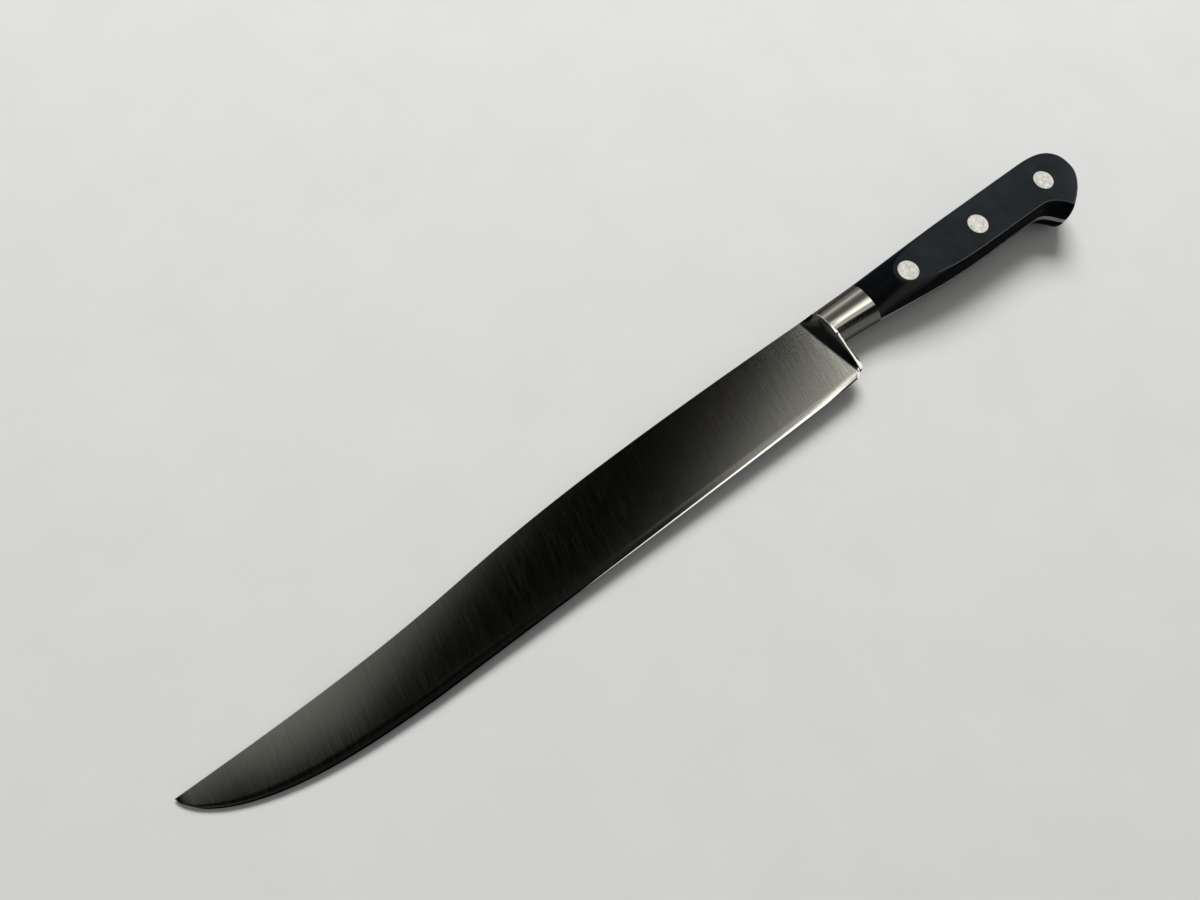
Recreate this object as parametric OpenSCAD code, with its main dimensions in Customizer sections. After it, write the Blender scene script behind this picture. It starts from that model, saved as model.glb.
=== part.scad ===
// Carving knife: one forging for blade, collar, neck and full tang,
// two moulded scales, and three two-part rivets.
// Working frame: X runs from tip to butt, Y from edge to spine, Z through the sides.
// The working origin is on the middle plane, at the spine beside the collar.

/* [Blade] */
// Length from the collar to the tip
blade_len = 250; // [200:1:300]
// Depth from the spine to the edge just in front of the heel
heel_depth = 28.1; // [24:0.1:32]
// Lowest point of the edge below the spine at the collar
belly_depth = 34.1; // [30:0.1:40]
// Distance from the collar back to the lowest point of the edge
belly_at = 177; // [150:1:190]
// How far the tip lies below the spine at the collar
tip_drop = 14.8; // [8:0.1:20]
// Thickness of the spine at the collar
spine_thick = 3; // [2:0.1:4]
// Thickness of the spine near the tip
tip_thick = 1.2; // [0.8:0.1:2]
// Width of the bright bevel along the edge
bevel_w = 0.8; // [0.4:0.1:1.5]
// Thickness where the side of the blade meets the bevel
bevel_thick = 0.4; // [0.2:0.05:0.8]
// Thickness of the sharpened edge itself
edge_thick = 0.08; // [0.04:0.01:0.2]

/* [Collar] */
// Width of the polished rim at the spine
rim_w = 1; // [0.6:0.1:2]
// How far the rim stands above the neck
rim_step = 0.25; // [0.1:0.05:0.6]
// How far the front of the rim leans back between the spine and the neck's underside
rim_lean = 1.35; // [0:0.05:3]
// How far the front of the rim turns forward again at the heel
rim_turn = 0.9; // [0:0.1:2]
// How far the back of the rim leans back between the spine and the heel
heel_lean = 2.5; // [1:0.1:4]
// Height of the rim's heel end above the edge line
rim_end_rise = 1.6; // [0.6:0.1:3]
// Thickness of the rim at its heel end
rim_end_thick = 1.4; // [0.8:0.1:3]
// Radius of the rounded heel corner
heel_r = 4.8; // [3:0.1:6]
// Width of the hollow between blade and rim at the spine
hollow_spine = 6.2; // [4:0.1:8]
// Width of the same hollow at the heel
hollow_heel = 1.8; // [0.8:0.1:3]

/* [Neck] */
// Distance from the collar to the front of the scales
neck_len = 19.7; // [14:0.5:26]
// Depth of the neck at the collar
neck_depth = 14.6; // [12:0.1:17]
// Thickness of the neck
neck_thick = 9; // [7:0.1:12]
// Radius of the hollow where the neck's underside meets the collar
neck_root_r = 1.5; // [0.5:0.1:2.5]

/* [Handle] */
// Distance from the collar to the butt
butt_at = 125.5; // [118:0.5:140]
// Thickness across the flat sides
handle_thick = 15; // [12:0.1:18]
// Height of the handle's back above the spine line, in front of the butt
back_rise = 3.8; // [1:0.1:6]
// Length over which the back rounds down into the butt
butt_round = 17.2; // [14:0.1:20]
// Depth of the butt's hindmost point below the rivet line
butt_low = 2.6; // [1:0.1:5]
// Depth of the grip's swell below the spine line
swell_depth = 18; // [15:0.1:20]
// Distance from the collar to the deepest part of the swell
swell_at = 62; // [50:1:70]
// Depth of the waist in front of the beak
waist_depth = 17.2; // [14:0.1:19]
// Distance from the collar to the waist
waist_at = 100.5; // [92:0.5:103]
// How far the beak's inner side is rounded away at the flat faces
beak_round = 2.3; // [0:0.1:3]
// Depth of the beak's point below the spine line
beak_depth = 24; // [20:0.1:28]
// Distance from the collar to the beak's point
beak_at = 110.6; // [108:0.1:114]
// Full height of the crowned side before it is ground flat
crown_half = 12; // [9:0.1:14]
// Length over which the side rises from the neck to its full crown
flare_len = 44; // [36:1:60]
// Length over which the crown falls away to the butt
crown_end_len = 21.5; // [15:0.5:30]

/* [Tang and rivets] */
// Thickness of the tang where it leaves the neck
tang_thick = 2.5; // [1.5:0.1:4]
// Thickness of the tang at the butt
tang_end_thick = 1.8; // [0.8:0.1:4]
// Distance from the collar to the first rivet
rivet_first = 37.3; // [34:0.1:42]
// Distance between neighbouring rivets
rivet_pitch = 36.2; // [30:0.1:37]
// Depth of the rivet line below the spine line
rivet_line = 7.6; // [5:0.1:10]
// Diameter of a rivet's head
head_d = 8; // [6:0.1:9]
// Thickness of a rivet's head
head_h = 2.6; // [1.5:0.1:3.5]
// Outer diameter of the sleeve half
sleeve_d = 5; // [4.5:0.1:5.5]
// Diameter of the post that is pressed into the sleeve
post_d = 3.2; // [2.5:0.1:3.6]
// Clearance round each rivet and between post and sleeve, on the radius
rivet_clear = 0.04; // [0.02:0.01:0.1]
// Room left past the end of the post and past the end of the sleeve
rivet_end_gap = 0.5; // [0.2:0.1:1]

/* [Hidden] */
steel = [0.62, 0.62, 0.60];
black = [0.06, 0.065, 0.08];
silver = [0.80, 0.79, 0.76];
$fn = 64;
far = 400;              // larger than the knife, for cutting blocks
rivets = 3;
half_side = handle_thick / 2;
half_tang = tang_thick / 2;
tang_angle = atan((tang_thick - tang_end_thick) / 2 / (butt_at - neck_len));

// Counts of the lofted skin
back_n = 8;             // steps from the back to the middle of a side
under_n = 9;            // steps from there to the underside
tip_n = 17;             // stations along the rounded belly
run_n = 13;             // stations along the straight run of the edge
swell_n = 14;           // stations from the scales' front to the swell
waist_n = 7;            // stations from the swell to the waist
beak_n = 10;            // stations from the waist to the beak's point
butt_n = 13;            // stations from there to the butt
first_turn = 4;         // degrees from the centre line to a ring's first point

// Shape exponents of the rounded outlines and sections, 2 is an ellipse
neck_square = 2.5;
back_square = 3.05;
under_square = 2.05;
beak_square = 2.5;      // the section stands squarer at the beak's point
butt_square = 2.8;      // the butt's upper corner, seen from the side
beak_slant = 1.42;      // the beak's outer side, seen from the side
end_square = 3.5;       // the butt, seen from above
belly_flat = 2.92;      // the belly of the edge, near its lowest point
belly_round = 0.62;     // the same belly, near the tip

// Blend of a and b
function mix(a, b, t) = a + (b - a) * t;
function clamp01(t) = min(1, max(0, t));
// Step from 0 to 1 that starts and ends level
function ease(t) = let (s = clamp01(t)) s * s * (3 - 2 * s);
// Point of a cubic curve with four control points
function cubic(p, t) = pow(1 - t, 3) * p[0] + 3 * pow(1 - t, 2) * t * p[1]
    + 3 * (1 - t) * t * t * p[2] + pow(t, 3) * p[3];
// Height of a curve whose x falls or rises steadily, found by halving
function cubic_y(p, x, lo = 0, hi = 1, n = 24) =
    let (mid = (lo + hi) / 2, past = (cubic(p, mid)[0] - x) * (p[3][0] - p[0][0]) > 0)
    n == 0 ? cubic(p, mid)[1] : cubic_y(p, x, past ? lo : mid, past ? mid : hi, n - 1);
// Rounded quarter: falls from 1 to 0 as u goes from 0 to 1
function quarter(u, power) = pow(1 - pow(clamp01(u), power), 1 / power);
// Quarter of a circle that rises from 0 to 1, level at first and steep at the end
function scoop(u) = 1 - sqrt(1 - pow(clamp01(u), 2));

// Rim of the collar, seen from the side: y from the spine end to the heel end
rim_top = [-0.7, 0.2];
rim_foot = -heel_depth + rim_end_rise;
front_bend = 3;         // the front's lean is soon complete
turn_bend = 14;         // the forward turn is all at the heel
function rim_share(y) = (rim_top[1] - y) / (rim_top[1] - rim_foot);
function rim_front(y) = let (w = rim_share(y))
    rim_top[0] + rim_lean * (1 - pow(1 - w, front_bend)) - rim_turn * pow(max(0, w), turn_bend);
function rim_back(y) = rim_top[0] + rim_w + heel_lean * rim_share(y);
// Half thickness of the rim, oval round the neck and drawn out to the heel
rim_drawn = 1.15;       // 1 draws the rim out along a straight line
rim_full = neck_thick / 2 + rim_step;
function rim_half(y) = y > -rivet_line
    ? rim_full * quarter((y + rivet_line) / (rim_top[1] + rivet_line), neck_square)
    : mix(rim_full, rim_end_thick / 2, pow((-rivet_line - y) / (-rivet_line - rim_foot), rim_drawn));

// Outline of the blade; the pulls are offsets of the curves' inner control points
tip = [-blade_len, -tip_drop];
belly = [-belly_at, -belly_depth];
tip_blunt = 0.12;       // half height of the blunted tip
spine_pulls = [[0.74, 0.2], [0.485, 0.845]];    // shares of the length and of the tip's drop
spine_curve = [[0, 0], [-spine_pulls[0][0] * blade_len, -spine_pulls[0][1] * tip_drop],
               [-spine_pulls[1][0] * blade_len, -spine_pulls[1][1] * tip_drop], tip];
heel_spread = 1.3;      // length of the heel's curve in radii
heel_start = [rim_back(rim_foot) - heel_spread * heel_r, -heel_depth];
heel_pull = [20, 1.5];
belly_pull = 75;
run_ease = 0.85;        // share of the run's mean slope that is left at the belly
run_slope = (belly_depth - heel_depth) / belly_at * run_ease;
run_curve = [heel_start, heel_start - heel_pull, belly + [belly_pull, belly_pull * run_slope], belly];
function spine_y(x) = cubic_y(spine_curve, x);
function belly_y(x) = let (u = clamp01((-belly_at - x) / (blade_len - belly_at)))
    -tip_drop - (belly_depth - tip_drop) * pow(1 - pow(u, belly_flat), belly_round);
function edge_y(x) = x < -belly_at ? belly_y(x) : cubic_y(run_curve, x);

// Outline of neck and handle on the middle plane
neck_top = rim_top[1] - rim_step;
butt_start = butt_at - butt_round;
butt_mid = -rivet_line - butt_low;
neck_back_pull = [40, 1.3];
butt_back_pull = [28, 0.9];
neck_pull = [22, 0.2];
swell_pulls = [22, 13];
waist_pulls = [12, 6];
beak_pull = [2.2, 0.8];
back_curve = [[0, neck_top], [0, neck_top] + neck_back_pull,
              [butt_start, back_rise] - butt_back_pull, [butt_start, back_rise]];
neck_under = [[0, -neck_depth], [neck_pull[0], -neck_depth - neck_pull[1]],
              [swell_at - swell_pulls[0], -swell_depth], [swell_at, -swell_depth]];
grip_under = [neck_under[3], [swell_at + swell_pulls[1], -swell_depth],
              [waist_at - waist_pulls[0], -waist_depth], [waist_at, -waist_depth]];
beak_under = [grip_under[3], [waist_at + waist_pulls[1], -waist_depth],
              [beak_at - beak_pull[0], -beak_depth + beak_pull[1]], [beak_at, -beak_depth]];
function back_y(x) = x < butt_start ? cubic_y(back_curve, x)
    : mix(butt_mid, back_rise, quarter((x - butt_start) / (butt_at - butt_start), butt_square));
function under_y(x) = x < swell_at ? cubic_y(neck_under, x)
    : x < waist_at ? cubic_y(grip_under, x)
    : x < beak_at ? cubic_y(beak_under, x)
    : mix(butt_mid, -beak_depth, quarter((x - beak_at) / (butt_at - beak_at), beak_slant));
// Half height of the crowned side at a distance from the collar
function crown(x) = let (rise = sin(90 * clamp01((x - neck_len) / flare_len)))
    mix(neck_thick / 2, crown_half, rise) * quarter(1 + (x - butt_at) / crown_end_len, end_square);

// Turns of a ring's points, from the back (0) to the underside (180)
turns = concat([for (j = [0:back_n]) mix(first_turn, 90, j / back_n)],
               [for (j = [1:under_n]) mix(90, 180 - first_turn, j / under_n)]);
last = len(turns) - 1;

// Shares of the blade's depth at which the side has points
row_crowd = 1.1;        // draws the rows a little towards the neck
rim_rows = [for (j = [0:last]) j <= back_n
    ? mix(-rivet_line, rim_top[1], pow(cos(turns[j]), 2 / neck_square))
    : mix(-rivet_line, rim_foot, pow((j - back_n) / under_n, row_crowd))];
shares = [for (y = rim_rows) rim_share(y)];

// Half thickness of the blade at one of its stations, row by row;
// near the tip the limits keep it thin against its depth
depth_limit = 0.1;
shoulder_limit = 0.5;
edge_limit = 0.25;
spine_crown = 0.75;     // share of the thickness that is left at the spine's rounded top
function blade_half(x, depth, j) =
    let (spine = min(mix(spine_thick, tip_thick, clamp01(-x / blade_len)) / 2, depth * depth_limit),
         shoulder = min(bevel_thick / 2, spine * shoulder_limit))
    j == 0 ? spine * spine_crown
    : j == last ? min(edge_thick / 2, spine * edge_limit)
    : mix(spine, shoulder, shares[j] / shares[last - 1]);
// Share of the depth at a row, with the bevel's shoulder at its own width
bevel_limit = 0.04;
function blade_share(depth, j) = j == last - 1 ? 1 - min(bevel_w / depth, bevel_limit) : shares[j];

// A ring of points: one side from back to underside, then the other side in return
function ring(side) = concat(side, [for (j = [len(side) - 1:-1:0]) [side[j][0], side[j][1], -side[j][2]]]);

// Ring across the blade at x
function blade_ring(x) =
    let (top = x <= -blade_len ? tip[1] + tip_blunt : spine_y(x),
         foot = x <= -blade_len ? tip[1] - tip_blunt : edge_y(x), depth = top - foot)
    ring([for (j = [0:last]) [x, top - depth * blade_share(depth, j), blade_half(x, depth, j)]]);

// Ring in the hollow between blade (c = 0) and rim (c = 1)
hollow_keep = 3.2;      // the hollow keeps its width until close to the heel
hollow_top = [rim_top[0] - hollow_spine, spine_y(rim_top[0] - hollow_spine)];
rim_corner = [rim_front(rim_foot), rim_foot];
heel_out = [2.4, 0.15];
heel_up = [1.1, 0.45];
heel_curve = [heel_start, heel_start + heel_out, rim_corner - heel_up, rim_corner];
function hollow_ring(c) =
    let (top = mix(hollow_top, rim_top, c), foot = cubic(heel_curve, c), depth = top[1] - foot[1])
    ring([for (j = [0:last])
        let (v = mix(blade_share(depth, j), shares[j], c),
             rim_at = [rim_front(rim_rows[j]), rim_rows[j]],
             at = mix(mix(top, foot, v), rim_at, c * c),
             room = norm(rim_at - mix(hollow_top, heel_start, shares[j])),
             width = mix(hollow_spine, hollow_heel, pow(shares[j], hollow_keep)),
             start = 1 - min(1, width / room),
             rise = scoop((c - start) / (1 - start)))
        [at[0], at[1], mix(blade_half(at[0], depth, j), rim_half(rim_rows[j]), rise)]]);

// Ring on the rim from its front (b = 0) to its back (b = 1), drawn in by some distance
rim_back_rise = 3.5;    // height of the rim's back end above its front end at the heel
rim_least = 0.3;
rim_crown = 0.05;       // the rim's face is slightly rounded
rim_edge = 0.1;
function rim_ring(b, drawn) =
    ring([for (j = [0:last])
        let (front_at = rim_rows[j], back_at = mix(rim_top[1], rim_foot + rim_back_rise, shares[j]),
             y = mix(front_at, back_at, scoop(b)))
        [mix(rim_front(front_at), rim_back(back_at), b), y - drawn * (1 - shares[j]),
         max(rim_least, rim_half(front_at) - drawn)]]);

// Ring round the neck or handle at x
neck_from = 1;          // place of the neck's first ring, which lies on the back of the rim
settle_at = 8;          // the rings stand square to the axis from here on
root_from = 2.5;        // the hollow under the neck ends its radius further on
mid_span = [0.3, 0.7];  // shares of the height between which the widest line stays
beak_reach = 4;         // length over which the beak's rounding fades behind its point
function neck_root(x) = neck_root_r * scoop(1 - (x - root_from) / neck_root_r);
function handle_ring(x) =
    let (top = back_y(x), foot = under_y(x), h = crown(x),
         mid = min(mix(foot, top, mid_span[1]), max(mix(foot, top, mid_span[0]), -rivet_line)),
         settle = clamp01((x - neck_len) / flare_len),
         back_p = mix(neck_square, back_square, settle),
         under_p = mix(under_square, beak_square, ease((x - waist_at) / (beak_at - waist_at))),
         fade = 1 - clamp01((x - beak_at) / beak_reach))
    ring([for (j = [0:last])
        let (p = j <= back_n ? back_p : under_p, z = h * pow(sin(turns[j]), 2 / p),
             shift = beak_round * fade * pow(min(1, z / half_side), 2),
             end = j <= back_n ? top : under_y(x - shift) - neck_root(x),
             y = mix(mid, end, pow(abs(cos(turns[j])), 2 / p)))
        [x < settle_at ? mix(rim_back(y), settle_at, (x - neck_from) / (settle_at - neck_from)) : x, y, z]]);

// Closed skin through a list of rings
module skin(rings) {
    n = len(rings[0]);
    m = len(rings);
    points = [for (r = rings) each r];
    sides = [for (i = [0:m - 2], k = [0:n - 1])
        let (a = i * n + k, b = i * n + (k + 1) % n)
        each [[a, b + n, b], [a, a + n, b + n]]];
    front = [for (k = [0:n / 2 - 2]) each [[k, n - 2 - k, n - 1 - k], [k, k + 1, n - 2 - k]]];
    back = [for (k = [0:n / 2 - 2]) let (o = (m - 1) * n)
        each [[o + k, o + n - 1 - k, o + n - 2 - k], [o + k, o + n - 2 - k, o + k + 1]]];
    polyhedron(points, concat(sides, front, back));
}

// Stations of the rings; they lie closer together at the tip and at the butt
tip_crowd = 1.8;
run_gap = 2;
end_gap = 0.01;
blade_stations = concat(
    [for (i = [0:tip_n]) -blade_len + (blade_len - belly_at) * pow(i / tip_n, tip_crowd)],
    [for (i = [1:run_n]) mix(-belly_at, hollow_top[0] - run_gap, i / run_n)]);
hollow_steps = [0, 0.2, 0.4, 0.56, 0.7, 0.82, 0.91, 0.97, 1];
neck_stations = [neck_from, 1.4, 2, 3, 5, settle_at, 13, neck_len];
handle_stations = concat(
    [for (i = [1:swell_n]) mix(neck_len, swell_at, i / swell_n)],
    [for (i = [1:waist_n]) mix(swell_at, waist_at, i / waist_n)],
    [for (i = [1:beak_n]) mix(waist_at, beak_at, i / beak_n)],
    [for (i = [1:butt_n]) mix(beak_at, butt_at - end_gap, sin(90 * i / butt_n))]);

// Outer form of the scales and tang, ground together as one
scale_lead = 2;         // the form starts in front of the scales and is cut square there
module handle_form() {
    skin([for (x = concat([neck_len - scale_lead, neck_len], handle_stations)) handle_ring(x)]);
}

// Room for the scale on the +Z side: behind the neck and outside the tapering tang
module scale_room() {
    translate([neck_len, 0, half_tang]) rotate([0, tang_angle, 0])
        translate([0, -far / 2, 0]) cube(far);
}

// Outer form of the whole knife
module knife_form() {
    skin(concat([for (x = blade_stations) blade_ring(x)],
                [for (c = hollow_steps) hollow_ring(c)],
                [rim_ring(0.3, -rim_crown), rim_ring(0.7, -rim_crown), rim_ring(0.9, 0), rim_ring(1, rim_edge)],
                [for (x = concat(neck_stations, handle_stations)) handle_ring(x)]));
}

// Puts the knife on its origin: under the middle of its box, lying on its right side
high_y = max([for (x = concat(neck_stations, handle_stations)) back_y(x)]);
module placed() {
    translate([(blade_len - butt_at) / 2, (belly_depth - high_y) / 2, half_side]) children();
}

// Calls its children at one of the three rivets, counted from the collar
module at_rivet(i) {
    translate([rivet_first + i * rivet_pitch, -rivet_line, 0]) children();
}

module forged_blade() color(steel) placed() difference() {
    knife_form();
    scale_room();
    mirror([0, 0, 1]) scale_room();
    for (i = [0:rivets - 1])
        at_rivet(i) cylinder(h = 2 * tang_thick, d = sleeve_d + 2 * rivet_clear, center = true);
}

// One scale on the +Z side, with a stepped hole for each rivet
module scale_blank() {
    difference() {
        intersection() {
            handle_form();
            scale_room();
            translate([0, -far / 2, 0]) cube([far, far, half_side]);
        }
        for (i = [0:rivets - 1]) at_rivet(i) {
            cylinder(h = far, d = sleeve_d + 2 * rivet_clear, center = true);
            translate([0, 0, half_side - head_h]) cylinder(h = far, d = head_d + 2 * rivet_clear);
        }
    }
}

module left_scale() color(black) placed() scale_blank();

module right_scale() color(black) placed() mirror([0, 0, 1]) scale_blank();

// Rivet half with the solid post, its head in the left scale
module rivet_post(i) {
    color(silver) placed() at_rivet(i) {
        translate([0, 0, half_side - head_h]) cylinder(h = head_h, d = head_d);
        translate([0, 0, head_h - half_side + rivet_end_gap])
            cylinder(h = handle_thick - 2 * head_h - rivet_end_gap, d = post_d);
    }
}

// Rivet half with the sleeve, its head in the right scale
module rivet_sleeve(i) {
    color(silver) placed() at_rivet(i) difference() {
        union() {
            translate([0, 0, -half_side]) cylinder(h = head_h, d = head_d);
            translate([0, 0, -half_side]) cylinder(h = handle_thick - head_h, d = sleeve_d);
        }
        translate([0, 0, head_h - half_side]) cylinder(h = far, d = post_d + 2 * rivet_clear);
    }
}

module front_rivet_post() rivet_post(0);
module front_rivet_sleeve() rivet_sleeve(0);
module middle_rivet_post() rivet_post(1);
module middle_rivet_sleeve() rivet_sleeve(1);
module rear_rivet_post() rivet_post(2);
module rear_rivet_sleeve() rivet_sleeve(2);

forged_blade();
left_scale();
right_scale();
front_rivet_post();
front_rivet_sleeve();
middle_rivet_post();
middle_rivet_sleeve();
rear_rivet_post();
rear_rivet_sleeve();
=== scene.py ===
# %% [markdown]
# # A carving knife
# The knife is one steel forging (blade, collar, neck and a full tang), two black moulded scales
# and three two-part rivets. The CAD model is the fixed frame: it gives each piece its place.
# Its facets are too coarse for polished steel, so every piece is worked out again here as a
# fine surface from the same formulas, in millimetres, and then put into the frame in metres.

# %% The frame
import math

import bmesh
import bpy
import numpy as np
from mathutils import Matrix, Vector


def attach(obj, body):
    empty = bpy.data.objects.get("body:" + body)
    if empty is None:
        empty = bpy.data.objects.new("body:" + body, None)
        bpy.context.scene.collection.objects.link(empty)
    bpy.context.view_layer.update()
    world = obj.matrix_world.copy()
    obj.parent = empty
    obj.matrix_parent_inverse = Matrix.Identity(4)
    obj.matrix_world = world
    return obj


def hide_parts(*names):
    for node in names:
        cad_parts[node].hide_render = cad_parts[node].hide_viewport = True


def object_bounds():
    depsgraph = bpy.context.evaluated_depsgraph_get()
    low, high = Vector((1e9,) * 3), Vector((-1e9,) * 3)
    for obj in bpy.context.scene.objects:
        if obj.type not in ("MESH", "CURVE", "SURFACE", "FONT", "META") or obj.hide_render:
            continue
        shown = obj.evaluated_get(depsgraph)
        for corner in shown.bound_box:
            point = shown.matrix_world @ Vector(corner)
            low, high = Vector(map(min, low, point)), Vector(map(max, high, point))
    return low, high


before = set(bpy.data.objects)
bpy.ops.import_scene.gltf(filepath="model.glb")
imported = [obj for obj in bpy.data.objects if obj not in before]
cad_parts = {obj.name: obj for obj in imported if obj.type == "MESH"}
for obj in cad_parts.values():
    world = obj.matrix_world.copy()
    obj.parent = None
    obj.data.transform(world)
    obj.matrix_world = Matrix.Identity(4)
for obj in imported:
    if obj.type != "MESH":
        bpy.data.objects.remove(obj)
cad_box = [[float(v) for v in corner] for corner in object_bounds()]
print("CAD box", cad_box)

# %% [markdown]
# ## The working frame
# All sizes below are in millimetres, measured from the spine beside the collar: X runs from tip
# to butt, Y from edge to spine and Z through the sides. The frame's box touches the knife at
# the tip, at the lowest point of the edge and at both flat faces, and that ties the two together.

# %% Driving sizes
MM = 0.001
MM_PER_M = 1000
BLADE_LEN = 250.0       # collar to tip
BELLY_DEPTH = 34.1      # lowest point of the edge
SIDE = MM_PER_M * (cad_box[1][2] - cad_box[0][2]) / 2     # half the thickness across the scales
origin = np.array([cad_box[0][0] + BLADE_LEN * MM, cad_box[0][1] + BELLY_DEPTH * MM, SIDE * MM])


def placed(points):
    """Points in the working frame, in millimetres, moved into the row frame, in metres."""
    return np.asarray(points) * MM + origin


print("working origin in the row frame", origin.round(4))

# %% [markdown]
# ## The camera
# The camera comes first, so that every later step can be judged in the final view. It stands
# over the blade, on the edge's side, and is rolled so that the knife climbs to the right.

# %% The camera
VIEW_WIDTH = 1200       # pixels of the picture's frame
FOCAL_PIXELS = 900
SENSOR_WIDTH = 36.0
NEAREST = 0.01          # metres
CAMERA_AT = (-174.1, -67.7, 274.5)
CAMERA_RIGHT = Vector((0.802, -0.590, 0.090))
CAMERA_VIEW = Vector((0.277, 0.235, -0.932))

camera_data = bpy.data.cameras.new("camera")
camera_data.sensor_width = SENSOR_WIDTH
camera_data.lens = SENSOR_WIDTH * FOCAL_PIXELS / VIEW_WIDTH
camera_data.clip_start = NEAREST
camera = bpy.data.objects.new("camera", camera_data)
camera_back = -CAMERA_VIEW.normalized()
camera_side = (CAMERA_RIGHT - CAMERA_RIGHT.dot(camera_back) * camera_back).normalized()
turn = Matrix((camera_side, camera_back.cross(camera_side), camera_back)).transposed().to_4x4()
camera.matrix_world = Matrix.Translation(placed(CAMERA_AT)) @ turn
bpy.context.scene.collection.objects.link(camera)
bpy.context.scene.camera = camera
print("lens", camera_data.lens, "camera at", camera.location[:])

# %% [markdown]
# ## Curves and roundings
# A few small functions carry all the shapes. They work on whole arrays.

# %% Curve helpers
CURVE_POINTS = 2001


def mix(a, b, t):
    """a at t = 0, b at t = 1, straight in between."""
    return a + (b - a) * t


def clamp01(t):
    """t held between 0 and 1."""
    return np.clip(t, 0, 1)


def ease(t):
    """Step from 0 to 1 that starts and ends level: 3t^2 - 2t^3."""
    return clamp01(t) ** 2 * (3 - 2 * clamp01(t))


def quarter(u, power):
    """Rounded quarter that falls from 1 to 0: (1 - u^power)^(1/power)."""
    return (1 - clamp01(u) ** power) ** (1 / power)


def scoop(u):
    """Quarter circle that rises from 0 to 1, level at first: 1 - sqrt(1 - u^2)."""
    return 1 - np.sqrt(1 - clamp01(u) ** 2)


def cubic(p, t):
    """Point of a cubic curve with the control points p, at the parameter t."""
    p = np.asarray(p, float)
    t = np.asarray(t, float)[..., None]
    return (1 - t) ** 3 * p[0] + 3 * (1 - t) ** 2 * t * p[1] + 3 * (1 - t) * t * t * p[2] + t ** 3 * p[3]


def cubic_y(p, x):
    """Height of a cubic curve at x, read between many points along it."""
    points = cubic(p, np.linspace(0, 1, CURVE_POINTS))
    order = np.argsort(points[:, 0])
    return np.interp(x, points[order, 0], points[order, 1])


def spread(a, b, count):
    """count + 1 values from a to b, closer together at both ends (cosine spacing)."""
    return mix(a, b, (1 - np.cos(np.linspace(0, np.pi, count + 1))) / 2)


print("the level step at 1/4, 1/2 and 3/4:", ease(np.array([0.25, 0.5, 0.75])))

# %% [markdown]
# ## The blade's outline
# The spine sinks in one long curve to the tip. The edge runs almost straight from the heel and
# then rounds up as a belly. Both are the CAD model's own curves.

# %% Blade outline
HEEL_DEPTH = 28.1
BELLY_AT = 177.0
BELLY_POWER, TIP_POWER = 2.92, 0.62     # roundness of the belly, and of its end at the tip
TIP_DROP = 14.8
SPINE_THICK, TIP_THICK = 3.0, 1.2
BEVEL_W, BEVEL_THICK, EDGE_THICK = 0.8, 0.4, 0.08
RELIEF_SLOPE = 0.06     # how much the flat side turns in above the bevel
NECK_THICK, RIM_STEP, RIM_W = 9.0, 0.08, 1.0
RIM_TOP = np.array([-0.7, 0.2])
RIM_FOOT = -HEEL_DEPTH + 1.6
RIM_LEAN, RIM_TURN = 1.35, 0.9          # how far the rim's front leans back, and turns forward below
HEEL_LEAN = 2.5
HEEL_R = 4.8
RIVET_LINE = 7.6
TIP = np.array([-BLADE_LEN, -TIP_DROP])
BELLY = np.array([-BELLY_AT, -BELLY_DEPTH])
spine_curve = [(0, 0), (-0.74 * BLADE_LEN, -0.2 * TIP_DROP),
               (-0.485 * BLADE_LEN, -0.845 * TIP_DROP), TIP]


def rim_share(y):
    """Place along the rim: 0 at the spine end, 1 at the heel end."""
    return (RIM_TOP[1] - y) / (RIM_TOP[1] - RIM_FOOT)


def rim_front(y):
    """Front of the rim at its share w: top + lean (1 - (1 - w)^3) - turn w^14.

    It leans back at once, and turns forward again only at the heel.
    """
    w = clamp01(rim_share(y))
    return RIM_TOP[0] + RIM_LEAN * (1 - (1 - w) ** 3) - RIM_TURN * w ** 14


def rim_back(y):
    """Back of the rim, which leans back steadily: a straight line over its share."""
    return RIM_TOP[0] + RIM_W + HEEL_LEAN * rim_share(y)


heel_start = np.array([rim_back(RIM_FOOT) - 1.3 * HEEL_R, -HEEL_DEPTH])
run_slope = (BELLY_DEPTH - HEEL_DEPTH) / BELLY_AT * 0.85
run_curve = [heel_start, heel_start - (20, 1.5), BELLY + (75, 75 * run_slope), BELLY]


def spine_y(x):
    """Height of the spine at x."""
    return cubic_y(spine_curve, x)


def edge_y(x):
    """Height of the edge at x: the run's cubic curve, and beyond the lowest point the belly.

    The belly's depth below the tip is its full depth times (1 - u^BELLY_POWER)^TIP_POWER, where
    u goes from 0 at the lowest point to 1 at the tip.
    """
    u = clamp01((-BELLY_AT - x) / (BLADE_LEN - BELLY_AT))
    rounded = -TIP_DROP - (BELLY_DEPTH - TIP_DROP) * (1 - u ** BELLY_POWER) ** TIP_POWER
    return np.where(x < -BELLY_AT, rounded, cubic_y(run_curve, x))


print("heel starts at", heel_start.round(2), "edge at mid blade", edge_y(np.array(-125.0)).round(2))

# %% [markdown]
# ## The handle's outline
# Neck, grip, waist and beak follow the curves of the underside, the back rises gently and rounds
# into the butt. The section is a superellipse, 2.5 at the neck and squarer along the grip, and
# the crowned sides are then ground flat at half the handle's thickness.

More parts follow.
